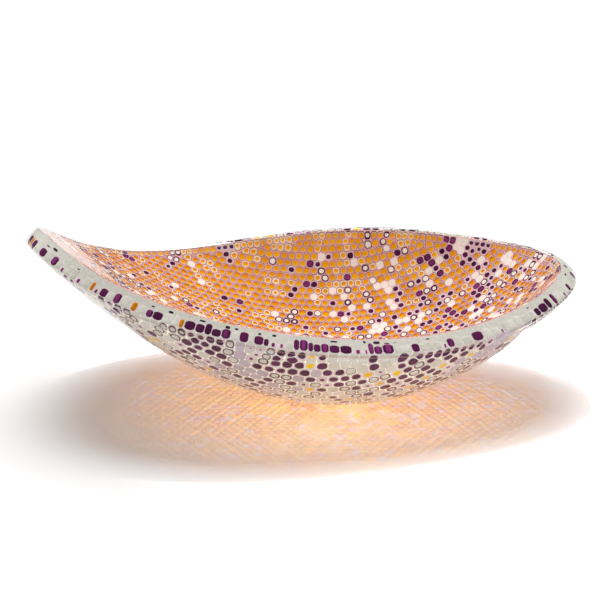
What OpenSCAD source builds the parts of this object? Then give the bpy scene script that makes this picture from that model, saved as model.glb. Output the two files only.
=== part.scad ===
// Art glass bowl. Two layers of glass cane slices (murrine) stand side by side
// through a thick dished wall, each layer on its own thin ground sheet, with
// clear glass over the inside, over the outside and around the rim. One end of
// the oval is drawn up into a lip.
// Millimetres, +Z up. The origin is the middle of the flat foot, the length runs
// along X with the lip at -X, and the front of the bowl is at -Y.

/* [Build] */
// Which node to draw; "all" draws the whole bowl

/* [Outline seen from above] */
// Half of the length, lip to round end
half_length = 171; // [130:1:240]
// Half of the width, front to back
half_width = 118; // [90:1:165]
// How far the middle of the length lies toward the lip from the foot
lip_offset = 25; // [10:1:35]
// How far the front and back leave the long axis toward the round end
outline_sweep = 10; // [0:1:20]
// How much wider the lip half is than the round half
outline_taper = 8; // [0:1:20]
// How far both ends bow toward the back
outline_bow = 4; // [0:1:10]

/* [Dish] */
// Height gained toward both ends
end_rise = 90; // [60:1:120]
// Extra height of the round end, taken from the lip end
end_lean = 12; // [0:1:18]
// Height gained toward front and back
side_rise = 51; // [40:1:70]
// Extra height gained only near the front and back rim
side_kick = 20; // [0:1:30]
// Extra rise of the sides toward the round end
round_end_cup = 35; // [0:1:40]
// Extra rise of the front beside both ends
lip_pull = 26; // [0:1:30]
// Depth ground off the bottom to make the flat foot
foot_cut = 1.1; // [0.8:0.1:1.3]

/* [Wall] */
// Thickness of the clear glass over the outside
casing_t = 1.6; // [1.5:0.1:2.5]
// Height of the cane slices in the outer layer
outer_slice_h = 5.2; // [3:0.1:7]
// Thickness of each ground sheet between the two layers
sheet_t = 0.5; // [0.4:0.1:1]
// Height of the cane slices in the inner layer
inner_slice_h = 2.6; // [2:0.1:4]
// Thickness of the clear glass over the inside
lining_t = 1; // [0.8:0.1:2]
// Room left between a slice and the glass above and below it
slice_gap = 0.3; // [0.3:0.05:0.5]
// Share of the plan radius taken by the clear rim band
rim_share = 0.025; // [0.025:0.005:0.06]
// Share of the plan radius lost to the rounding of the rim
rim_rounding = 0.015; // [0.01:0.0025:0.02]

/* [Cane slices] */
// Spacing of the slices in the inner layer, measured on the outside skin
inner_pitch = 5.4; // [5.2:0.1:8]
// Radius of the largest slice in the inner layer
inner_slice_r = 1.85; // [1.4:0.05:1.85]
// Spacing of the slices in the outer layer
outer_pitch = 7.6; // [7.4:0.1:12]
// Radius of the largest slice in the outer layer
outer_slice_r = 2.75; // [2.2:0.05:2.75]
// Radius of the smallest slice as a share of the largest
smallest_slice = 0.86; // [0.7:0.02:1]
// How far a slice may sit off its place in the pattern, as a share of the spacing
slice_wander = 0.035; // [0:0.005:0.035]
// Seed of the scatter of the cane patterns
scatter_seed = 41; // [1:1:99]

/* [Hidden] */
sectors = 60;    // steps around each glass skin
rings = 9;       // steps from the middle of the bowl to the rim band
rim_steps = 8;   // steps over the rounding of the rim
inside_share = 1 - rim_share;
flat_reach = 1.6; // size of the flat glass that the slices are laid on, in half lengths and widths
edge_room = 0.57; // spacings kept free between the rim band and the middle of a slice
wall_t = casing_t + outer_slice_h + 2 * sheet_t + inner_slice_h + lining_t + 4 * slice_gap;

// Depths below the outside skin at which each layer starts
outer_slice_d = casing_t + slice_gap;
opal_sheet_d = outer_slice_d + outer_slice_h + slice_gap;
lavender_sheet_d = opal_sheet_d + sheet_t;
inner_slice_d = lavender_sheet_d + sheet_t + slice_gap;
lining_d = inner_slice_d + inner_slice_h + slice_gap;

clear = [0.93, 0.96, 0.95, 0.35];
amber = [0.96, 0.62, 0.08];
pale_amber = [0.98, 0.84, 0.45];
plum = [0.30, 0.09, 0.25];
plum_ring = [0.60, 0.42, 0.58];
cream = [0.97, 0.93, 0.86];
magenta = [0.62, 0.22, 0.48];
opal = [0.83, 0.81, 0.75];
lavender = [0.82, 0.68, 0.76];

// ---- shape of the bowl ----

// Edge of the bowl seen from above at turn t, going round from the round end
function outline(t) =
    let (c = cos(t))
    [half_length * c - lip_offset,
     outline_sweep * c + outline_bow * c * c + sin(t) * (half_width - outline_taper * c)];

// Height of the outside skin above its lowest point
function dish(x, y) =
    let (u = x / half_length, v = y / half_width)
    end_rise * u * u + end_lean * u * u * u
    + side_rise * v * v + side_kick * pow(v, 4)
    + round_end_cup * u * v * v - lip_pull * u * u * v;

function slope_x(x, y) =
    let (u = x / half_length, v = y / half_width)
    (2 * end_rise * u + 3 * end_lean * u * u
     + round_end_cup * v * v - 2 * lip_pull * u * v) / half_length;

function slope_y(x, y) =
    let (u = x / half_length, v = y / half_width)
    (2 * side_rise * v + 4 * side_kick * pow(v, 3)
     + 2 * round_end_cup * u * v - lip_pull * u * u) / half_width;

// Direction square to the skin, toward the inside of the bowl
function inward(x, y) =
    let (n = [-slope_x(x, y), -slope_y(x, y), 1])
    n / norm(n);

// Point at plan place [x, y] and depth d below the outside skin
function in_wall(x, y, d) = [x, y, dish(x, y) - foot_cut] + d * inward(x, y);

// The same for a share of the way out along turn t
function wall_point(t, share, d) =
    let (p = share * outline(t))
    in_wall(p.x, p.y, d);

function flattened(p) = [p.x, p.y, max(0, p.z)];

// ---- glass skins ----

// Points of one face of a skin: its middle, then ring after ring
function skin_face(d, flat) =
    let (raw = concat([in_wall(0, 0, d)],
                      [for (i = [1 : rings], j = [0 : sectors - 1])
                          wall_point(360 * j / sectors, inside_share * i / rings, d)]))
    [for (p = raw) flat ? flattened(p) : p];

// Number of the point in ring i, sector j, of a face whose points start at first
function ring_index(first, i, j) = first + 1 + (i - 1) * sectors + j % sectors;

// Triangles of one face, seen from the inside of the bowl
function skin_triangles(first) =
    concat([for (j = [0 : sectors - 1])
               [first, ring_index(first, 1, j + 1), ring_index(first, 1, j)]],
           [for (i = [1 : rings - 1], j = [0 : sectors - 1], half = [0, 1])
               half == 0
               ? [ring_index(first, i, j), ring_index(first, i, j + 1), ring_index(first, i + 1, j)]
               : [ring_index(first, i, j + 1), ring_index(first, i + 1, j + 1), ring_index(first, i + 1, j)]]);

function turned(triangles) = [for (f = triangles) [f[2], f[1], f[0]]];

// Thin dish-shaped layer between two depths of the wall
module glass_skin(d_out, d_in, flat = false) {
    outer = skin_face(d_out, flat);
    second = len(outer);
    edge = [for (j = [0 : sectors - 1], half = [0, 1])
               half == 0
               ? [ring_index(0, rings, j), ring_index(0, rings, j + 1), ring_index(second, rings, j)]
               : [ring_index(0, rings, j + 1), ring_index(second, rings, j + 1), ring_index(second, rings, j)]];
    polyhedron(concat(outer, skin_face(d_in, false)),
               concat(turned(skin_triangles(0)), skin_triangles(second), turned(edge)));
}

// Cross-section of the rim band as [share of the way out, depth in the wall]
function rim_profile() =
    concat([[inside_share, 0]],
           [for (k = [0 : rim_steps])
               let (a = 180 * k / rim_steps - 90)
               [1 - rim_rounding * (1 - sqrt(abs(cos(a)))), wall_t * (1 + sin(a)) / 2]],
           [[inside_share, wall_t]]);

// ---- layout of the cane slices ----

// Plan distance reached by laying flat glass of length s into a dish of bend k,
// keeping the area of the glass
function laid_reach(s, k) = sqrt(pow(1 + 6 * pow(k * s, 2), 2 / 3) - 1) / (2 * k);

// Mean bend of the dish in the direction a
function bend(a) =
    let (r = half_width, x = r * cos(a), y = r * sin(a))
    dish(x, y) / (r * r);

// Plan place of a point of the flat glass once it is laid in the dish
function laid(p) =
    let (s = norm(p), a = atan2(p.y, p.x))
    s == 0 ? p : p * laid_reach(s, bend(a)) / s;

// True where a plan place is inside the outline shrunk to a share of its size
function inside(p, share) =
    let (c = (p.x / share + lip_offset) / half_length,
         middle = outline_sweep * c + outline_bow * c * c,
         reach = sqrt(max(0, 1 - c * c)) * (half_width - outline_taper * c))
    abs(c) < 1 && abs(p.y / share - middle) < reach;

// Every place in one layer as [x, y, size, accent roll, pattern roll]; places lie
// in offset rows, and each one wanders a little
function slice_places(pitch, seed) =
    let (cols = ceil(flat_reach * half_length / pitch),
         rows = ceil(flat_reach * half_width / (pitch * sin(60))),
         across = 2 * cols + 1,
         total = across * (2 * rows + 1),
         shift = slice_wander * pitch,
         wander = rands(-shift, shift, 2 * total, seed),
         rolls = rands(0, 1, 3 * total, seed + 100))
    [for (i = [-cols : cols], j = [-rows : rows])
        let (n = (j + rows) * across + i + cols,
             flat = pitch * [i + (j % 2 == 0 ? 0 : 0.5), j * sin(60)],
             p = laid(flat) + [wander[2 * n], wander[2 * n + 1]])
        if (inside(p, inside_share - edge_room * pitch / half_width))
            [p.x, p.y, rolls[3 * n], rolls[3 * n + 1], rolls[3 * n + 2]]];

// Closeness of a plan place to a spot, 1 on it and 0 beyond its reach
function near_spot(p, spot, reach) =
    max(0, 1 - norm([p[0] / half_length - spot.x, p[1] / half_width - spot.y]) / reach);

// Share of the inner slices that are not amber: thin over most of the bowl, thick
// toward the back of the round end and in a patch by the lip
back_patch = [0.38, 0.38];
back_patch_reach = 0.8;
lip_patch = [-0.8, 0.25];
lip_patch_reach = 0.35;
function accent_share(p) =
    0.1
    + 0.5 * near_spot(p, back_patch, back_patch_reach)
    + 0.5 * near_spot(p, lip_patch, lip_patch_reach);

// Pattern of an inner slice
function inner_kind(p) =
    p[3] > accent_share(p) ? (p[4] < 0.2 ? "ringed amber" : "amber")
    : p[4] < 0.38 ? "plum"
    : p[4] < 0.62 ? "plum ring"
    : p[4] < 0.88 ? "cream"
    : "magenta eye";

// Share of the outer slices that are plain: drifts across the bowl
function plain_share(p) = 0.25 + 0.18 * sin(3 * p[0]) * cos(2.6 * p[1]);

// Pattern of an outer slice
function outer_kind(p) =
    p[3] < plain_share(p) ? (sin(2.2 * p[0] + 1.7 * p[1]) > 0.3 ? "lavender" : "opal")
    : p[4] < 0.47 ? "plum"
    : p[4] < 0.80 ? "plum ring"
    : p[4] < 0.91 ? "magenta"
    : "amber";

inner_places = slice_places(inner_pitch, scatter_seed);
outer_places = slice_places(outer_pitch, scatter_seed + 7);

// One cane slice standing square to the wall
module slice(p, d, h, r) {
    n = inward(p[0], p[1]);
    translate(in_wall(p[0], p[1], d))
        rotate([0, acos(n.z), atan2(n.y, n.x)])
            cylinder(h = h, r = r);
}

// Radius of a slice whose largest kind has radius r
function slice_r(p, r) = r * (smallest_slice + (1 - smallest_slice) * p[2]);

module inner_slices(kind) {
    for (p = inner_places)
        if (inner_kind(p) == kind)
            slice(p, inner_slice_d, inner_slice_h, slice_r(p, inner_slice_r));
}

module outer_slices(kind) {
    for (p = outer_places)
        if (outer_kind(p) == kind)
            slice(p, outer_slice_d, outer_slice_h, slice_r(p, outer_slice_r));
}

// ---- nodes ----

module clear_outer_casing() color(clear) glass_skin(0, casing_t, flat = true);
module opal_ground_sheet() color(opal) glass_skin(opal_sheet_d, opal_sheet_d + sheet_t);
module lavender_ground_sheet() color(lavender) glass_skin(lavender_sheet_d, lavender_sheet_d + sheet_t);
module clear_inner_lining() color(clear) glass_skin(lining_d, wall_t);

module clear_rim_band() {
    profile = rim_profile();
    count = len(profile);
    points = [for (j = [0 : sectors - 1], q = profile) wall_point(360 * j / sectors, q[0], q[1])];
    triangles = [for (j = [0 : sectors - 1], k = [0 : count - 1], half = [0, 1])
                    let (here = j * count, next = ((j + 1) % sectors) * count, m = (k + 1) % count)
                    half == 0 ? [here + k, here + m, next + k] : [here + m, next + m, next + k]];
    color(clear) polyhedron(points, triangles);
}

module amber_murrine() color(amber) inner_slices("amber");
module ringed_amber_murrine() color(pale_amber) inner_slices("ringed amber");
module plum_murrine() color(plum) inner_slices("plum");
module plum_ring_murrine() color(plum_ring) inner_slices("plum ring");
module cream_murrine() color(cream) inner_slices("cream");
module magenta_eye_murrine() color(magenta) inner_slices("magenta eye");

module outer_plum_murrine() color(plum) outer_slices("plum");
module outer_plum_ring_murrine() color(plum_ring) outer_slices("plum ring");
module outer_magenta_murrine() color(magenta) outer_slices("magenta");
module outer_amber_murrine() color(amber) outer_slices("amber");
module outer_opal_murrine() color(opal) outer_slices("opal");
module outer_lavender_murrine() color(lavender) outer_slices("lavender");

clear_outer_casing();
opal_ground_sheet();
lavender_ground_sheet();
clear_inner_lining();
clear_rim_band();
amber_murrine();
ringed_amber_murrine();
plum_murrine();
plum_ring_murrine();
cream_murrine();
magenta_eye_murrine();
outer_plum_murrine();
outer_plum_ring_murrine();
outer_magenta_murrine();
outer_amber_murrine();
outer_opal_murrine();
outer_lavender_murrine();
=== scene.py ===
"""Looks for the art glass bowl.

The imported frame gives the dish, its edge and the place of every cane slice. This script
builds the fused glass round them: each slice becomes a closed cell with its casing,
rings and core, cut cane shows along the rim, and smooth clear glass closes over the
inside, the outside and the edge.
"""

import math

import bpy
import numpy as np
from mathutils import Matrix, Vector
from mathutils.kdtree import KDTree

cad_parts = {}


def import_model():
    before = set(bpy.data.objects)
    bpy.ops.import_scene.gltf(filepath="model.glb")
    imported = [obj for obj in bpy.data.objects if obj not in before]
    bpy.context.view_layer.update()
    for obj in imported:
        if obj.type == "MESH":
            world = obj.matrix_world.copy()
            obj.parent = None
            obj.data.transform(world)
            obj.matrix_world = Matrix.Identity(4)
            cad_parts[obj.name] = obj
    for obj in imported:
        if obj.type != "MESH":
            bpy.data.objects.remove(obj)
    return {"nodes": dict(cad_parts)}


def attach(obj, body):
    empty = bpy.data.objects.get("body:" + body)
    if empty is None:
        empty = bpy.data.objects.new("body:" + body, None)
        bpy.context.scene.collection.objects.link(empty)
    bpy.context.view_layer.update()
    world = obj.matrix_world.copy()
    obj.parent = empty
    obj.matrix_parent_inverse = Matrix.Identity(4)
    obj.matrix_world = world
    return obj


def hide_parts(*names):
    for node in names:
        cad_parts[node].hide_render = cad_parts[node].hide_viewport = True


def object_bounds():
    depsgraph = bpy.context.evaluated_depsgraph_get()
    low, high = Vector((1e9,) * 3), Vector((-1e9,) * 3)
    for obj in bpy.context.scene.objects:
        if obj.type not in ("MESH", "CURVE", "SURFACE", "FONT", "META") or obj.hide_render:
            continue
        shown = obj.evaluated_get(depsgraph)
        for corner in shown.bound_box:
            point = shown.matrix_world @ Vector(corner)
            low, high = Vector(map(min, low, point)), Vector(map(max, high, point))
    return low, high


MM = 0.001
TURN = 2 * math.pi

SIDES = 16  # steps round one slice
SLICES_PER_PIECE = 700  # most slices that one piece holds
SEAM = 0.985  # size of a cell as a share of the room it has, which leaves a hairline seam
SKIN_STEPS_ROUND = 240
SKIN_STEPS_OUT = 44
RIM_STEPS = 14
EDGE_STEPS = 1200  # places measured round the edge, to fit the cells to it and to lay the cut cane
RIM_ROUNDING = 0.015  # how far the rounded corners of the rim draw in, as a share of its reach
FILL_INSETS = (0.4, 0.65, 0.9, 1.15, 1.4)  # rows looked at for cut slices, in spacings from the rim
FILL_ROOM = 0.79  # a cut slice goes in where none is nearer than this, in spacings
PATTERN_IN_RIM = 0.45  # how far the cells that meet the rim run into it, as a share of its width
CELL_LIMIT = 1.25  # furthest that a cell reaches from its middle, in spacings
NEIGHBOUR_REACH = 2.3  # how far off the slices that bound a cell are looked for, in spacings
LEAST_ROOM = 0.15  # least reach of a cell toward the rim, in spacings
JUST_PAST = 1.02  # a share of the edge's reach that is just past it
FOOT_LEVEL = 0.01 * MM  # corners of the outside below this are on the flat foot
DEPTH_ROUNDS = 25  # times that a point's place under the dish is worked out again
SEED = 7
TINY = 1e-9


# ---- the bowl's shape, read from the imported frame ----


def corners_of(mesh):
    corners = np.empty(len(mesh.vertices) * 3)
    mesh.vertices.foreach_get("co", corners)
    return corners.reshape(-1, 3)


def face_corners(node, upward):
    """Corners of the node's triangles that look up, or of those that look down."""
    mesh = node.data
    normals = np.empty(len(mesh.polygons) * 3)
    mesh.polygons.foreach_get("normal", normals)
    starts = np.empty(len(mesh.polygons), int)
    mesh.polygons.foreach_get("loop_start", starts)
    indices = np.empty(len(mesh.loops), int)
    mesh.loops.foreach_get("vertex_index", indices)
    wanted = starts[(normals.reshape(-1, 3)[:, 2] > 0) == upward]
    used = indices[wanted[:, None] + np.arange(3)].ravel()
    return np.unique(np.round(corners_of(mesh)[used], 7), axis=0)


class Bowl:
    """The dish z(x, y), its edge, and points at any depth in its wall."""

    def __init__(self, nodes):
        outside = face_corners(nodes["clear_outer_casing"], upward=False)
        curved = outside[outside[:, 2] > FOOT_LEVEL]
        terms = self.terms(curved[:, 0], curved[:, 1])
        self.weights = np.linalg.lstsq(terms, curved[:, 2], rcond=None)[0]
        self.casing_t = self.level(nodes["clear_outer_casing"])
        self.lining_low = self.level(nodes["clear_inner_lining"], upward=False)
        self.wall_t = self.level(nodes["clear_inner_lining"])
        self.edge_waves = self.read_edge(outside)
        self.rim_share = self.read_rim_share(corners_of(nodes["clear_rim_band"].data)[:, 0].max())
        self.pattern_share = 1 + PATTERN_IN_RIM * (self.rim_share - 1)

    @staticmethod
    def terms(x, y):
        one = np.ones_like(x)
        return np.stack([one, x**2, x**3, y**2, y**4, x * y**2, x**2 * y], axis=-1)

    def height(self, x, y):
        return self.terms(x, y) @ self.weights

    def inward(self, x, y):
        """Unit normals of the dish, toward the inside of the bowl."""
        _, w_xx, w_xxx, w_yy, w_yyyy, w_xyy, w_xxy = self.weights
        slope_x = 2 * w_xx * x + 3 * w_xxx * x**2 + w_xyy * y**2 + 2 * w_xxy * x * y
        slope_y = 2 * w_yy * y + 4 * w_yyyy * y**3 + 2 * w_xyy * x * y + w_xxy * x**2
        normal = np.stack([-slope_x, -slope_y, np.ones_like(slope_x)], axis=-1)
        return normal / np.linalg.norm(normal, axis=-1, keepdims=True)

    def in_wall(self, plan, depth):
        """Points below the plan places, at this depth under the outside skin."""
        x, y = plan[..., 0], plan[..., 1]
        skin = np.stack([x, y, self.height(x, y)], axis=-1)
        return skin + depth * self.inward(x, y)

    def under(self, points):
        """Plan places and depths of points in the wall."""
        plan = points[:, :2].copy()
        for _ in range(DEPTH_ROUNDS):
            normal = self.inward(plan[:, 0], plan[:, 1])
            depth = (points[:, 2] - self.height(plan[:, 0], plan[:, 1])) / normal[:, 2]
            plan = points[:, :2] - depth[:, None] * normal[:, :2]
        return plan, depth

    def level(self, node, upward=True):
        """Depth of the upper or lower face of a skin, measured near the middle of the bowl."""
        face = face_corners(node, upward)
        middle = np.argmin(np.hypot(face[:, 0], face[:, 1]))
        return float(self.under(face[middle : middle + 1])[1][0])

    def read_edge(self, outside):
        """Waves of the closed curve where the patterned glass ends."""
        away = np.hypot(outside[:, 0], outside[:, 1])
        spoke = np.round(np.arctan2(outside[:, 1], outside[:, 0]), 3)
        furthest = {}
        for place in np.argsort(away):
            if away[place] > MM:
                furthest[spoke[place]] = outside[place, :2]
        ring = np.array([furthest[a] for a in sorted(furthest)])
        return np.fft.fft(ring[:, 0] + 1j * ring[:, 1]) / len(ring)

    def edge(self, t):
        """Plan place of the edge of the patterned glass, with t from 0 to 1 round the bowl."""
        count = len(self.edge_waves)
        order = np.fft.fftfreq(count, 1 / count)
        place = np.exp(1j * TURN * np.asarray(t)[..., None] * order) @ self.edge_waves
        return np.stack([place.real, place.imag], axis=-1)

    def rim_rows(self, rim_share):
        """Rows of points round the polished outside of the rim, from its bottom to its top."""
        edge = self.edge(np.linspace(0, 1, SKIN_STEPS_ROUND, endpoint=False))
        rows = []
        for step in range(RIM_STEPS + 1):
            turn = math.pi * (step / RIM_STEPS - 0.5)
            drawn_in = RIM_ROUNDING * (1 - math.sqrt(abs(math.cos(turn))))
            place = edge * rim_share * (1 - drawn_in)
            rows.append(self.in_wall(place, self.wall_t * (1 + math.sin(turn)) / 2))
        return rows

    def read_rim_share(self, furthest):
        """How far out the rim reaches, as a share of the edge of the patterned glass."""
        shares = (1.0, 1.1)
        reach = [np.stack(self.rim_rows(share))[..., 0].max() for share in shares]
        gained = (furthest - reach[0]) / (reach[1] - reach[0])
        return shares[0] + gained * (shares[1] - shares[0])


# ---- the cane slices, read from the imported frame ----


def loose_parts(mesh):
    """Corner points of the mesh and the number of the loose part that each belongs to."""
    points, place = np.unique(np.round(corners_of(mesh), 7), axis=0, return_inverse=True)
    ends = np.empty(len(mesh.edges) * 2, int)
    mesh.edges.foreach_get("vertices", ends)
    a, b = place.ravel()[ends].reshape(-1, 2).T
    label = np.arange(len(points))
    changed = True
    while changed:
        low = np.minimum(label[a], label[b])
        changed = bool((low != label[a]).any() or (low != label[b]).any())
        np.minimum.at(label, a, low)
        np.minimum.at(label, b, low)
        label = label[label]
    return points, np.unique(label, return_inverse=True)[1].ravel()


class Layer:
    """The slices of one layer: place, axis, height, and the outline of each one's cell.

    facing is 1 where the slices show their faces to the inside of the bowl, -1 where
    they show them to the outside. backing is the glass of the cells' hidden sides.
    """

    def __init__(self, bowl, nodes, names, facing, backing):
        self.bowl = bowl
        self.facing = facing
        self.backing = backing
        self.members = {}
        centres = []
        halves = []
        first = 0
        for name in names:
            points, part = loose_parts(nodes[name].data)
            count = np.bincount(part)
            centre = np.stack([np.bincount(part, points[:, i]) / count for i in range(3)], axis=1)
            plan = bowl.under(centre)[0]
            axis = bowl.inward(plan[:, 0], plan[:, 1])
            half = np.zeros(len(count))
            np.maximum.at(half, part, np.einsum("ij,ij->i", points - centre[part], axis[part]))
            self.members[name] = list(range(first, first + len(centre)))
            first += len(centre)
            centres.append(centre)
            halves.append(half)
        self.centre = np.concatenate(centres)
        self.half = float(np.median(np.concatenate(halves)))
        self.level = float(np.median(bowl.under(self.centre)[1]))
        self.pitch = float(np.median([gap for _, _, gap in self.nearest(2)]))
        self.fill_to_edge()
        plan = bowl.under(self.centre)[0]
        self.axis = bowl.inward(plan[:, 0], plan[:, 1])
        self.across = np.cross([0, 1, 0], self.axis)
        self.across /= np.linalg.norm(self.across, axis=1, keepdims=True)
        self.along = np.cross(self.axis, self.across)
        self.turns = TURN * np.arange(SIDES) / SIDES
        self.reach = self.cell_outlines()

    def tree(self):
        tree = KDTree(len(self.centre))
        for i, c in enumerate(self.centre):
            tree.insert(Vector(c), i)
        tree.balance()
        return tree

    def nearest(self, count):
        """For each slice, the place, number and distance of its count-th nearest slice."""
        tree = self.tree()
        return [tree.find_n(Vector(c), count)[-1] for c in self.centre]

    def fill_to_edge(self):
        """Adds the slices that grinding the edge cut through, between the whole ones and the rim."""
        edge = self.bowl.pattern_share * self.bowl.edge(np.linspace(0, 1, EDGE_STEPS, endpoint=False))
        tangent = np.roll(edge, -1, axis=0) - np.roll(edge, 1, axis=0)
        tangent /= np.linalg.norm(tangent, axis=1, keepdims=True)
        inward = np.stack([-tangent[:, 1], tangent[:, 0]], axis=1)
        owner = {i: name for name, members in self.members.items() for i in members}
        tree = self.tree()
        for inset in FILL_INSETS:
            places = self.bowl.in_wall(edge + inset * self.pitch * inward, self.level)
            for place in places:
                if np.linalg.norm(self.centre - place, axis=1).min() > FILL_ROOM * self.pitch:
                    name = owner[tree.find(Vector(place))[1]]
                    self.members[name].append(len(self.centre))
                    self.centre = np.concatenate([self.centre, [place]])

    def flat(self, i, step):
        """A step from slice i, laid in the plane square to its axis."""
        return np.stack([step @ self.across[i], step @ self.along[i]], axis=-1)

    def cell_outlines(self):
        """How far each slice's cell reaches, for each turn round it, before it meets another."""
        tree = self.tree()
        limit = CELL_LIMIT * self.pitch
        edge = self.bowl.pattern_share * self.bowl.edge(np.linspace(0, 1, EDGE_STEPS, endpoint=False))
        rim = self.bowl.in_wall(edge, self.level)
        beyond = self.bowl.in_wall(JUST_PAST * edge, self.level) - rim
        tangent = np.roll(rim, -1, axis=0) - np.roll(rim, 1, axis=0)
        tangent /= np.linalg.norm(tangent, axis=1, keepdims=True)
        beyond -= np.einsum("ij,ij->i", beyond, tangent)[:, None] * tangent
        directions = np.stack([np.cos(self.turns), np.sin(self.turns)])
        outlines = np.empty((len(self.centre), SIDES))
        for i, c in enumerate(self.centre):
            found = tree.find_range(Vector(c), NEIGHBOUR_REACH * self.pitch)
            near = [j for _, j, _ in found if j != i]
            steps = self.flat(i, self.centre[near] - c)
            sides = 0.5 * (steps**2).sum(axis=1)[:, None] / np.maximum(steps @ directions, TINY)
            outlines[i] = np.minimum(sides.min(axis=0), limit)
            gap = np.linalg.norm(rim - c, axis=1)
            close = int(np.argmin(gap))
            if gap[close] < 2 * limit:
                out = self.flat(i, beyond[close])
                out /= np.linalg.norm(out)
                room = max(self.flat(i, rim[close] - c) @ out, LEAST_ROOM * self.pitch)
                outlines[i] = np.minimum(outlines[i], room / np.maximum(out @ directions, TINY))
        return outlines


# ---- materials ----


def linear(red, green, blue):
    """A colour given as display values from 0 to 255, as the linear colour a shader takes."""
    shown = np.array([red, green, blue]) / 255
    light = np.where(shown <= 0.04045, shown / 12.92, ((shown + 0.055) / 1.055) ** 2.4)
    return (*light.tolist(), 1.0)


def new_material(name):
    material = bpy.data.materials.new(name)
    material.use_nodes = True
    tree = material.node_tree
    tree.nodes.clear()
    return material, tree.nodes, tree.links


STREAK_CONTRAST = 1.3
STREAK_LEVEL = -0.42  # added to the streaks, so that they leave room for the change by slice
SLICE_CHANGE = 0.55  # most that the shade changes from one slice to another
DEEP_AT, PALE_AT = 0.1, 0.85  # where the deep shade ends and the pale one starts
WAVE_WIDTH = 14 * MM
WAVE_DEPTH = 0.6 * MM
CLEAR_IOR = 1.4  # below the 1.5 of real glass, so that reflections don't hide the pattern
CLEAR_LIGHT = (0.96, 0.97, 0.97, 1)  # what is left of lamplight after one clear face
PAPER_GRAIN = 2 * MM


def coloured_glass(name, pale, deep, lamp_tint, painted_glow, grain):
    """Coloured glass: streaked between two shades, each slice a little different.

    lamp_tint is what is left of lamplight that has passed through one face of it.
    The glow is painted light: an emission in the glass's own shades that stands in for
    the light shining through the glass.
    """
    material, nodes, links = new_material(name)
    place = nodes.new("ShaderNodeTexCoord")
    streaks = nodes.new("ShaderNodeTexNoise")
    streaks.inputs["Scale"].default_value = 1 / grain
    streaks.inputs["Detail"].default_value = 3
    streaks.inputs["Roughness"].default_value = 0.6
    links.new(place.outputs["Object"], streaks.inputs["Vector"])
    island = nodes.new("ShaderNodeNewGeometry")
    streak_part = nodes.new("ShaderNodeMath")
    streak_part.operation = "MULTIPLY_ADD"
    streak_part.inputs[1].default_value = STREAK_CONTRAST
    streak_part.inputs[2].default_value = STREAK_LEVEL
    links.new(streaks.outputs["Fac"], streak_part.inputs[0])
    blend = nodes.new("ShaderNodeMath")
    blend.operation = "MULTIPLY_ADD"
    blend.inputs[1].default_value = SLICE_CHANGE
    links.new(island.outputs["Random Per Island"], blend.inputs[0])
    links.new(streak_part.outputs[0], blend.inputs[2])
    shades = nodes.new("ShaderNodeValToRGB")
    shades.color_ramp.elements[0].position = DEEP_AT
    shades.color_ramp.elements[0].color = deep
    shades.color_ramp.elements[1].position = PALE_AT
    shades.color_ramp.elements[1].color = pale
    links.new(blend.outputs[0], shades.inputs["Fac"])
    glass = nodes.new("ShaderNodeBsdfPrincipled")
    glass.inputs["Roughness"].default_value = 0.35
    glass.inputs["Specular IOR Level"].default_value = 0.0
    # Painted light: the glass glows by emission in its own shades, in place of light shining through
    # it.
    glass.inputs["Emission Strength"].default_value = painted_glow
    links.new(shades.outputs["Color"], glass.inputs["Base Color"])
    links.new(shades.outputs["Color"], glass.inputs["Emission Color"])
    clear = nodes.new("ShaderNodeBsdfTransparent")
    clear.inputs["Color"].default_value = lamp_tint
    let_lamp_pass(nodes, links, glass, clear)
    return material


def let_lamp_pass(nodes, links, surface, clear):
    """The surface as it is seen, with the lamps shining through it as through the clear shader."""
    path = nodes.new("ShaderNodeLightPath")
    mix = nodes.new("ShaderNodeMixShader")
    links.new(path.outputs["Is Shadow Ray"], mix.inputs["Fac"])
    links.new(surface.outputs["BSDF"], mix.inputs[1])
    links.new(clear.outputs["BSDF"], mix.inputs[2])
    output = nodes.new("ShaderNodeOutputMaterial")
    links.new(mix.outputs["Shader"], output.inputs["Surface"])


def polished_glass():
    """Clear glass with the faint waves that kiln firing and hand polishing leave."""
    material, nodes, links = new_material("polished_clear_glass")
    place = nodes.new("ShaderNodeTexCoord")
    waves = nodes.new("ShaderNodeTexNoise")
    waves.inputs["Scale"].default_value = 1 / WAVE_WIDTH
    waves.inputs["Detail"].default_value = 1.5
    links.new(place.outputs["Object"], waves.inputs["Vector"])
    bump = nodes.new("ShaderNodeBump")
    bump.inputs["Strength"].default_value = 0.3
    bump.inputs["Distance"].default_value = WAVE_DEPTH
    links.new(waves.outputs["Fac"], bump.inputs["Height"])
    glass = nodes.new("ShaderNodeBsdfGlass")
    glass.inputs["IOR"].default_value = CLEAR_IOR
    glass.inputs["Roughness"].default_value = 0.0
    links.new(bump.outputs["Normal"], glass.inputs["Normal"])
    clear = nodes.new("ShaderNodeBsdfTransparent")
    clear.inputs["Color"].default_value = CLEAR_LIGHT
    let_lamp_pass(nodes, links, glass, clear)
    return material


def fused_joint():
    """Faces where two clear glasses are melted into one, so nothing shows there."""
    material, nodes, links = new_material("fused_joint")
    clear = nodes.new("ShaderNodeBsdfTransparent")
    output = nodes.new("ShaderNodeOutputMaterial")
    links.new(clear.outputs["BSDF"], output.inputs["Surface"])
    return material


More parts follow.
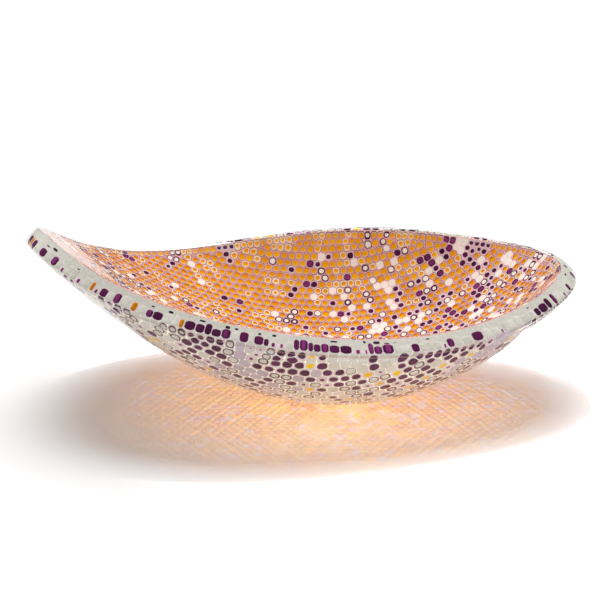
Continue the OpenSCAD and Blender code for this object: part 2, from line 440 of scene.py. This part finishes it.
def floor_paper():
    """Plain white paper with the faintest grain."""
    material, nodes, links = new_material("floor_paper")
    place = nodes.new("ShaderNodeTexCoord")
    grain = nodes.new("ShaderNodeTexNoise")
    grain.inputs["Scale"].default_value = 1 / PAPER_GRAIN
    links.new(place.outputs["Object"], grain.inputs["Vector"])
    shades = nodes.new("ShaderNodeValToRGB")
    shades.color_ramp.elements[0].color = (0.89, 0.89, 0.89, 1)
    shades.color_ramp.elements[1].color = (0.92, 0.92, 0.92, 1)
    links.new(grain.outputs["Fac"], shades.inputs["Fac"])
    paper = nodes.new("ShaderNodeBsdfPrincipled")
    paper.inputs["Roughness"].default_value = 0.9
    paper.inputs["Specular IOR Level"].default_value = 0.0
    links.new(shades.outputs["Color"], paper.inputs["Base Color"])
    output = nodes.new("ShaderNodeOutputMaterial")
    links.new(paper.outputs["BSDF"], output.inputs["Surface"])
    return material


# What is left of lamplight after one face of each glass
AMBER_LIGHT = (1.0, 0.64, 0.02, 1)
PINK_LIGHT = (0.12, 0.07, 0.09, 1)
PALE_LIGHT = (0.7, 0.64, 0.6, 1)
SHEET_LIGHT = (0.82, 0.79, 0.77, 1)
PLUM_LIGHT = (0.7, 0.5, 0.58, 1)


def make_glasses():
    """Every coloured glass in the bowl, by name: pale shade, deep shade, lamplight, painted glow,
    grain.
    """
    fine, broad = 0.7 * MM, 2 * MM
    # The glow column is painted light: emission that stands in for the light passing through each
    # glass.
    recipes = {
        # Painted light and shade in one amber: the floor is a brighter yellow copy with more painted
        # glow, the wall a darker orange copy that paints the shade on the core's side.
        "amber with painted light": ((255, 218, 0), (250, 190, 0), AMBER_LIGHT, 0.26, fine),
        "amber with painted shade": ((240, 160, 12), (222, 122, 6), AMBER_LIGHT, 0.08, fine),
        "pale ring": ((254, 240, 206), (248, 222, 170), PALE_LIGHT, 0.3, fine),
        "lavender": ((238, 206, 208), (216, 174, 184), PINK_LIGHT, 0.22, fine),
        "plum line": ((146, 84, 122), (104, 46, 88), PLUM_LIGHT, 0.04, fine),
        "plum": ((116, 38, 98), (70, 18, 60), PLUM_LIGHT, 0.05, fine),
        "halo": ((248, 230, 232), (236, 208, 216), PALE_LIGHT, 0.2, fine),
        "cream": ((255, 250, 240), (248, 238, 224), PALE_LIGHT, 0.34, fine),
        "magenta": ((168, 66, 146), (124, 40, 106), PLUM_LIGHT, 0.08, fine),
        "opal": ((246, 243, 234), (222, 218, 205), PALE_LIGHT, 0.15, broad),
        "grey": ((234, 222, 232), (206, 190, 204), PALE_LIGHT, 0.12, broad),
        "smoke": ((84, 60, 76), (30, 18, 26), PLUM_LIGHT, 0.0, fine),
        "opal sheet": ((254, 252, 244), (236, 232, 220), SHEET_LIGHT, 0.26, broad),
        "lavender sheet": ((244, 206, 204), (224, 174, 180), SHEET_LIGHT, 0.26, broad),
    }
    glasses = {}
    for name, (pale, deep, lamp_tint, painted_glow, grain) in recipes.items():
        label = name.replace(" ", "_") + "_glass"
        glasses[name] = coloured_glass(label, linear(*pale), linear(*deep), lamp_tint, painted_glow, grain)
    return glasses


# ---- meshes ----


def new_piece(name, vertices, faces, materials, slots, smooth_slots=()):
    """A mesh that rides on the bowl. slots has each face's material, by its place in materials."""
    mesh = bpy.data.meshes.new(name)
    mesh.from_pydata(np.asarray(vertices).tolist(), [], faces)
    for material in materials:
        mesh.materials.append(material)
    mesh.polygons.foreach_set("material_index", slots)
    mesh.polygons.foreach_set("use_smooth", [slot in smooth_slots for slot in slots])
    mesh.update()
    piece = bpy.data.objects.new(name, mesh)
    bpy.context.scene.collection.objects.link(piece)
    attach(piece, "root")
    return piece


class Stack:
    """A growing mesh of closed solids, each a stack of rings with a cap at either end."""

    def __init__(self, turned):
        self.turned = turned
        self.vertices = []
        self.faces = []
        self.slots = []

    def add(self, rings, slots):
        """slots has the material of the first cap, of each step between rings, and of the last cap."""
        first = len(self.vertices)
        sides = len(rings[0])
        for ring in rings:
            self.vertices.extend(ring)
        order = range(sides)
        self.add_face([first + k for k in order][::-1], slots[0])
        for r in range(len(rings) - 1):
            low = first + r * sides
            high = low + sides
            for k in order:
                n = (k + 1) % sides
                self.add_face([low + k, low + n, high + n, high + k], slots[r + 1])
        last = first + (len(rings) - 1) * sides
        self.add_face([last + k for k in order], slots[-1])

    def add_face(self, corners, slot):
        self.faces.append(corners[::-1] if self.turned else corners)
        self.slots.append(slot)


class Kind:
    """How one kind of cane looks on its face.

    casing is its outermost glass. bands lists, from the outside in, the size at which a
    glass starts as a share of the cell, how far that line follows the cell's own shape,
    and the glass. The last band is the core. cup is how deep the core is seen into, as a
    share of the slice's height, with wall the glass of that hollow's side. finish is not
    used.
    """

    def __init__(self, finish, casing, bands, cup=0.0, wall=None, spread=0.06):
        self.finish = finish
        self.casing = casing
        self.bands = bands
        self.cup = cup
        self.wall = wall
        self.spread = spread


INNER_KINDS = {
    "amber_murrine": Kind(
        "amber_glass",
        "lavender",
        [
            (0.95, 0.9, "plum line"),
            (0.88, 0.8, "lavender"),
            (0.82, 0.55, "pale ring"),
            (0.76, 0.45, "amber with painted light"),
        ],
        # the hollow's floor takes the amber with painted light, its side the darker amber with painted
        # shade
        cup=0.6,
        wall="amber with painted shade",
    ),
    "ringed_amber_murrine": Kind(
        "pale_amber_glass",
        "lavender",
        [(0.96, 0.9, "plum line"), (0.89, 0.8, "pale ring"), (0.58, 0.2, "amber with painted light")],
        cup=0.6,
        wall="amber with painted shade",
        spread=0.1,
    ),
    "plum_murrine": Kind(
        "plum_glass", "lavender", [(0.93, 0.8, "halo"), (0.68, 0.3, "plum")], spread=0.12
    ),
    "plum_ring_murrine": Kind(
        "plum_ring_glass", "lavender", [(0.94, 0.7, "plum"), (0.66, 0.4, "cream")], spread=0.14
    ),
    "cream_murrine": Kind("cream_glass", "halo", [(0.93, 0.9, "cream")]),
    "magenta_eye_murrine": Kind(
        "magenta_glass", "halo", [(0.92, 0.8, "plum"), (0.66, 0.4, "magenta")], spread=0.1
    ),
}

OUTER_KINDS = {
    "outer_plum_murrine": Kind(
        "plum_glass", "opal", [(0.93, 0.5, "halo"), (0.8, 0.3, "plum")], spread=0.08
    ),
    "outer_plum_ring_murrine": Kind(
        "plum_ring_glass", "opal", [(0.92, 0.35, "plum line"), (0.68, 0.3, "opal")], spread=0.1
    ),
    "outer_magenta_murrine": Kind(
        "magenta_glass", "opal", [(0.72, 0.3, "halo"), (0.36, 0.1, "magenta")], spread=0.12
    ),
    "outer_amber_murrine": Kind(
        "amber_glass", "opal", [(0.8, 0.4, "halo"), (0.6, 0.3, "amber with painted light")], spread=0.1
    ),
    "outer_opal_murrine": Kind("opal_glass", "opal", [(0.9, 0.9, "opal")]),
    "outer_lavender_murrine": Kind("lavender_glass", "grey", [(0.9, 0.9, "grey")]),
}


NARROW_SIDES = 30  # per cent of a cell's sides that are narrower than the one a core is sized by
LEAN = 0.08  # how far a core sits off the middle, as a share of its cell
OVAL, THREE_SIDED = 0.05, 0.03  # how far a core is from round, as a share of its reach
FIXED_SHARE = 0.85  # lines further out than this follow the cell, and don't vary in size
CUP_TAPER = 0.97  # size of the bottom of a hollow core as a share of its top


def slice_rings(layer, i, kind, rng):
    """The rings of one slice's cell, from its hidden cap to its core, and their materials."""
    outline = SEAM * layer.reach[i]
    within = 0.5 * (outline.min() + np.percentile(outline, NARROW_SIDES))
    show = layer.facing * layer.half * layer.axis[i]
    face = layer.centre[i] + show

    def ring(middle, reach):
        step_x = (reach * np.cos(layer.turns))[:, None] * layer.across[i]
        step_y = (reach * np.sin(layer.turns))[:, None] * layer.along[i]
        return middle + step_x + step_y

    size = 1 + rng.normal(0, kind.spread)
    lean = rng.normal(0, LEAN, 2) * within
    drift = lean[0] * layer.across[i] + lean[1] * layer.along[i]
    dent = 1 + OVAL * np.cos(2 * layer.turns + rng.uniform(0, TURN))
    dent = dent + THREE_SIDED * np.cos(3 * layer.turns + rng.uniform(0, TURN))
    rings = [ring(layer.centre[i] - show, outline), ring(face, outline)]
    backing = len(kind.bands) + 1
    slots = [backing, backing]
    for number, (share, squareness, _) in enumerate(kind.bands):
        shape = (1 - squareness) * within * dent + squareness * outline
        grown = share if share > FIXED_SHARE else share * size
        middle = face + drift * (1 - share)
        rings.append(ring(middle, grown * shape))
        slots.append(number)
    if kind.cup:
        rings.append(ring(middle - show * 2 * kind.cup, CUP_TAPER * grown * shape))
        slots.append(backing + 1)
    return rings, slots + [len(kind.bands)]


def build_kind(layer, node, kind, glasses, rng):
    """All slices of one kind, each a closed solid, over as many pieces as it takes."""
    used = [kind.casing, *[glass for _, _, glass in kind.bands], layer.backing, kind.wall]
    materials = [glasses[name] for name in used if name]
    members = layer.members[node]
    for start in range(0, len(members), SLICES_PER_PIECE):
        stack = Stack(turned=layer.facing < 0)
        for i in members[start : start + SLICES_PER_PIECE]:
            stack.add(*slice_rings(layer, i, kind, rng))
        number = start // SLICES_PER_PIECE + 1
        piece = new_piece(
            f"{node}_cells_{number}", stack.vertices, stack.faces, materials, stack.slots
        )
        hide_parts(node)


# Cane cut through along the rim: its glasses with their sizes as a share of the column,
# how often it comes, and its material slot
CUT_CANE = {
    "plum": ([("plum", 1.0)], 0.3, "plum_glass"),
    "ring": ([("plum", 1.0), ("magenta", 0.55)], 0.1, "plum_ring_glass"),
    "magenta": ([("halo", 0.9), ("magenta", 0.4)], 0.05, "magenta_glass"),
    "amber": ([("halo", 1.0), ("amber with painted shade", 0.8)], 0.05, "amber_glass"),
    "opal": ([("opal", 1.0)], 0.5, "opal_glass"),
}
COLUMN_SIDES = 12
COLUMN_RINGS = 7
COLUMN_WIDTHS = (0.4, 1.15)  # narrowest and widest column, in slice spacings
COLUMN_FILL = 0.46  # half of a column's glass as a share of its width, so that a gap is left
COLUMN_PROUD = 0.25 * MM  # how far a column stands out of the cells' edge
CORE_PROUD = 0.8  # how much further its core stands out, as a share of that
COLUMN_TOPS = (-1.0 * MM, 1.8 * MM)  # lowest and highest top of a column, from the layer's top
SHORT_COLUMN = 2.2 * MM  # height of the magenta columns, which don't run through the layer
SPECK_CHANCE = 0.22  # share of the columns with a dark speck above them
SPECK_STARTS = (0.8 * MM, 1.8 * MM)  # least and most height of a speck above the layer's top
SPECK_HEIGHTS = (0.5 * MM, 2.0 * MM)
SPECK_REACHES = (0.12, 0.4)  # half of a speck as a share of its column's width
SPECK_PROUD = 0.15 * MM
OPAL_PROUD = 1.0007  # reach of the opal glass round the columns, as a share of the cells' reach
OPAL_INSET = 0.1 * MM  # room between that glass and the casing, and between it and the lining


def build_cut_edge(bowl, layer, glasses, rng):
    """Cane cut through along the edge: columns of colour in opal glass, seen through the rim."""
    t = np.linspace(0, 1, EDGE_STEPS, endpoint=False)
    line = bowl.in_wall(bowl.edge(t), layer.level)
    run = np.concatenate([[0], np.cumsum(np.linalg.norm(np.diff(line, axis=0), axis=1))])
    low = layer.level - layer.half
    high = layer.level + layer.half
    names = list(CUT_CANE)
    chances = [chance for _, chance, _ in CUT_CANE.values()]
    stacks = {name: Stack(turned=False) for name in names}
    specks = Stack(turned=False)
    place = 0.0
    while place < run[-1]:
        width = layer.pitch * rng.uniform(*COLUMN_WIDTHS)
        middle = np.interp(place + width / 2, run, t)
        name = str(rng.choice(names, p=chances))
        top = low + SHORT_COLUMN if name == "magenta" else high + rng.uniform(*COLUMN_TOPS)
        for step, (_, size) in enumerate(CUT_CANE[name][0]):
            reach = COLUMN_FILL * size * width
            proud = COLUMN_PROUD * (1 + CORE_PROUD * step)
            rings = column_rings(bowl, middle, reach, low, top, proud)
            stacks[name].add(rings, [step] * (len(rings) + 1))
        if rng.random() < SPECK_CHANCE:
            start = high + rng.uniform(*SPECK_STARTS)
            end = start + rng.uniform(*SPECK_HEIGHTS)
            reach = rng.uniform(*SPECK_REACHES) * width
            rings = column_rings(bowl, middle, reach, start, end, SPECK_PROUD)
            specks.add(rings, [0] * (len(rings) + 1))
        place += width
    for name, stack in stacks.items():
        cane, _, slot = CUT_CANE[name]
        materials = [glasses[glass] for glass, _ in cane]
        piece = new_piece(f"cut_{name}_cane", stack.vertices, stack.faces, materials, stack.slots)
    piece = new_piece(
        "cut_dark_specks", specks.vertices, specks.faces, [glasses["smoke"]], specks.slots
    )


def column_rings(bowl, middle, reach, bottom, top, proud):
    """Rings of one upright column on the cut edge, rounded at both of its ends."""
    nearby = 0.0005
    gap = bowl.edge(middle + nearby) - bowl.edge(middle - nearby)
    edge_run = np.linalg.norm(gap) / (2 * nearby)
    turns = TURN * np.arange(COLUMN_SIDES) / COLUMN_SIDES
    rings = []
    for climb in np.linspace(0, 1, COLUMN_RINGS):
        swell = 0.5 + 0.5 * (1 - abs(2 * climb - 1) ** 6) ** 0.5
        t = middle + swell * reach * np.sin(turns) / edge_run
        plan = bowl.pattern_share * bowl.edge(t)
        out = plan / np.linalg.norm(plan, axis=1, keepdims=True)
        plan = plan + out * (proud * swell * (0.5 + np.cos(turns)))[:, None]
        rings.append(bowl.in_wall(plan, bottom + climb * (top - bottom)))
    return rings


def build_edge_band(bowl, glasses):
    """The opal glass between the columns of the cut edge, from the casing up to the lining."""
    steps = SKIN_STEPS_ROUND
    edge = bowl.pattern_share * bowl.edge(np.linspace(0, 1, steps, endpoint=False))
    low, high = bowl.casing_t + OPAL_INSET, bowl.lining_low - OPAL_INSET
    section = ((1.0, low), (OPAL_PROUD, low), (OPAL_PROUD, high), (1.0, high))
    rows = [bowl.in_wall(edge * share, depth) for share, depth in section]
    faces = grid_faces(len(rows) + 1, steps)
    count = len(rows) * steps
    faces = [[corner % count for corner in face] for face in faces]
    vertices = np.concatenate(rows)
    piece = new_piece("cut_edge_opal", vertices, faces, [glasses["opal"]], [0] * len(faces))


AIR, JOINT = 0, 1  # which glass a face of the clear body has, open or melted to its neighbour


def grid_faces(rows, steps):
    """Faces of a grid whose rows run round it, one row after another."""
    faces = []
    for r in range(rows - 1):
        for k in range(steps):
            n = (k + 1) % steps
            faces.append([r * steps + k, r * steps + n, (r + 1) * steps + n, (r + 1) * steps + k])
    return faces


def build_skin(node, bowl, low, high, open_below, materials):
    """A smooth closed skin of the bowl between two depths. One of its faces meets the air."""
    steps = SKIN_STEPS_ROUND
    edge = bowl.edge(np.linspace(0, 1, steps, endpoint=False))
    shares = np.linspace(0, 1, SKIN_STEPS_OUT + 1)[1:]
    below = np.stack([bowl.in_wall(edge * s, low) for s in shares])
    above = np.stack([bowl.in_wall(edge * s, high) for s in shares])
    rows = np.concatenate([below, above[::-1]])
    hubs = [bowl.in_wall(np.zeros((1, 2)), depth) for depth in (low, high)]
    vertices = np.concatenate([rows.reshape(-1, 3), *hubs])
    vertices[:, 2] = np.maximum(vertices[:, 2], 0)
    faces = grid_faces(len(rows), steps)
    last = (len(rows) - 1) * steps
    hub_low, hub_high = len(vertices) - 2, len(vertices) - 1
    side = (SKIN_STEPS_OUT - 1) * steps
    under, over = (AIR, JOINT) if open_below else (JOINT, AIR)
    slots = [under] * side + [JOINT] * steps + [over] * side
    for k in range(steps):
        n = (k + 1) % steps
        faces.append([hub_low, n, k])
        slots.append(under)
        faces.append([hub_high, last + k, last + n])
        slots.append(over)
    piece = new_piece(f"{node}_skin", vertices, faces, materials, slots, smooth_slots=[AIR])
    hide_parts(node)


def build_rim(bowl, materials):
    """The clear polished rim, with its hidden face melted to the ends of the wall."""
    steps = SKIN_STEPS_ROUND
    edge = bowl.edge(np.linspace(0, 1, steps, endpoint=False))
    rows = [bowl.in_wall(edge, 0.0), *bowl.rim_rows(bowl.rim_share), bowl.in_wall(edge, bowl.wall_t)]
    faces = grid_faces(len(rows), steps)
    slots = [AIR] * len(faces)
    last = (len(rows) - 1) * steps
    for k in range(steps):
        n = (k + 1) % steps
        faces.append([last + k, last + n, n, k])
        slots.append(JOINT)
    vertices = np.concatenate(rows)
    piece = new_piece("clear_rim_skin", vertices, faces, materials, slots, smooth_slots=[AIR])
    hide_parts("clear_rim_band")


# ---- studio ----

WORLD_LIGHT = 0.42  # how strongly the white surroundings light a surface
WORLD_MIRRORED = 0.18  # how strongly they show mirrored in the glass
LAMP_PLACE = Vector((-0.1, 1.6, 3.4))  # in bowl lengths, like the other places and sizes here
BEAM_RADIUS = 0.1
FLOOR_REACH = 40
CAMERA_TILT = math.radians(18)
CAMERA_DISTANCE = 6.04
VIEW_WIDTH = 1.0983
AIM_ALONG, AIM_HEIGHT = -0.079, 0.1066
AIM_LIFT = 0.0664  # how far the aim is moved up the picture


def soft_light(scene):
    """White all round to look at, weaker as a light, and weakest where the glass mirrors it."""
    world = bpy.data.worlds.new("studio")
    scene.world = world
    world.use_nodes = True
    world.cycles.sampling_method = "NONE"  # so that it lights nothing through the coloured glass
    nodes, links = world.node_tree.nodes, world.node_tree.links
    path = nodes.new("ShaderNodeLightPath")
    lighting = nodes.new("ShaderNodeMapRange")
    lighting.inputs["To Min"].default_value = 1.0
    lighting.inputs["To Max"].default_value = WORLD_LIGHT
    links.new(path.outputs["Is Diffuse Ray"], lighting.inputs["Value"])
    mirrored = nodes.new("ShaderNodeMapRange")
    mirrored.inputs["To Min"].default_value = 1.0
    mirrored.inputs["To Max"].default_value = WORLD_MIRRORED
    links.new(path.outputs["Is Glossy Ray"], mirrored.inputs["Value"])
    strength = nodes.new("ShaderNodeMath")
    strength.operation = "MULTIPLY"
    links.new(lighting.outputs["Result"], strength.inputs[0])
    links.new(mirrored.outputs["Result"], strength.inputs[1])
    backdrop = nodes["Background"]
    backdrop.inputs["Color"].default_value = (1, 1, 1, 1)
    links.new(strength.outputs[0], backdrop.inputs["Strength"])


def add_lamp(scene, light, place):
    """A lamp aimed at the foot. It shows neither in the glass nor through it."""
    lamp = bpy.data.objects.new(light.name, light)
    lamp.location = place
    lamp.rotation_euler = place.to_track_quat("Z", "Y").to_euler()
    lamp.visible_transmission = False
    lamp.visible_glossy = False
    scene.collection.objects.link(lamp)
    return lamp


def lay_floor(scene, length):
    mesh = bpy.data.meshes.new("floor")
    half = FLOOR_REACH * length
    corners = [(-half, -half, 0), (half, -half, 0), (half, half, 0), (-half, half, 0)]
    mesh.from_pydata(corners, [], [(0, 1, 2, 3)])
    mesh.materials.append(floor_paper())
    floor = bpy.data.objects.new("floor", mesh)
    scene.collection.objects.link(floor)
    return floor


def hang_lamps(scene, length, floor):
    """A broad soft lamp, and a narrow beam that only lights the floor, through the glass."""
    above = LAMP_PLACE * length
    light = bpy.data.lights.new("overhead", "SUN")
    light.angle = math.radians(40)
    light.energy = 2.5
    add_lamp(scene, light, above)

    beam = bpy.data.lights.new("beam", "SPOT")
    beam.spot_size = math.radians(15.5)
    beam.spot_blend = 1.0
    beam.shadow_soft_size = BEAM_RADIUS * length
    beam.energy = 360
    beam_lamp = add_lamp(scene, beam, above)
    lit = bpy.data.collections.new("lit by the beam")
    lit.objects.link(floor)
    beam_lamp.light_linking.receiver_collection = lit


def place_camera(scene, length):
    back = Vector((0, -math.cos(CAMERA_TILT), math.sin(CAMERA_TILT)))
    screen_up = Vector((0, math.sin(CAMERA_TILT), math.cos(CAMERA_TILT)))
    aim = Vector((AIM_ALONG * length, 0, AIM_HEIGHT * length)) + AIM_LIFT * length * screen_up
    distance = CAMERA_DISTANCE * length
    camera_data = bpy.data.cameras.new("camera")
    camera_data.sensor_width = 36
    camera_data.lens = camera_data.sensor_width * distance / (VIEW_WIDTH * length)
    camera = bpy.data.objects.new("camera", camera_data)
    camera.location = aim + distance * back
    camera.rotation_euler = back.to_track_quat("Z", "Y").to_euler()
    scene.collection.objects.link(camera)
    scene.camera = camera


def build_studio(lowest, highest):
    scene = bpy.context.scene
    length = highest.x - lowest.x
    floor = lay_floor(scene, length)
    soft_light(scene)
    hang_lamps(scene, length, floor)
    place_camera(scene, length)
    scene.view_settings.view_transform = "Standard"
    scene.cycles.transparent_max_bounces = 32
    scene.cycles.sample_clamp_indirect = 4


def main():
    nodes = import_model()["nodes"]
    lowest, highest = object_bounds()
    bowl = Bowl(nodes)
    glasses = make_glasses()
    rng = np.random.default_rng(SEED)
    for kinds, facing, backing in (
        (INNER_KINDS, 1, "lavender sheet"),
        (OUTER_KINDS, -1, "opal sheet"),
    ):
        layer = Layer(bowl, nodes, list(kinds), facing, backing)
        for node, kind in kinds.items():
            build_kind(layer, node, kind, glasses, rng)
    build_edge_band(bowl, glasses)
    build_cut_edge(bowl, layer, glasses, rng)
    for colour in ("opal", "lavender"):
        sheet = nodes[f"{colour}_ground_sheet"].data
        sheet.materials.clear()
        sheet.materials.append(glasses[f"{colour} sheet"])
    clear = [polished_glass(), fused_joint()]
    build_skin("clear_outer_casing", bowl, 0.0, bowl.casing_t, True, clear)
    build_skin("clear_inner_lining", bowl, bowl.lining_low, bowl.wall_t, False, clear)
    build_rim(bowl, clear)
    build_studio(lowest, highest)


main()
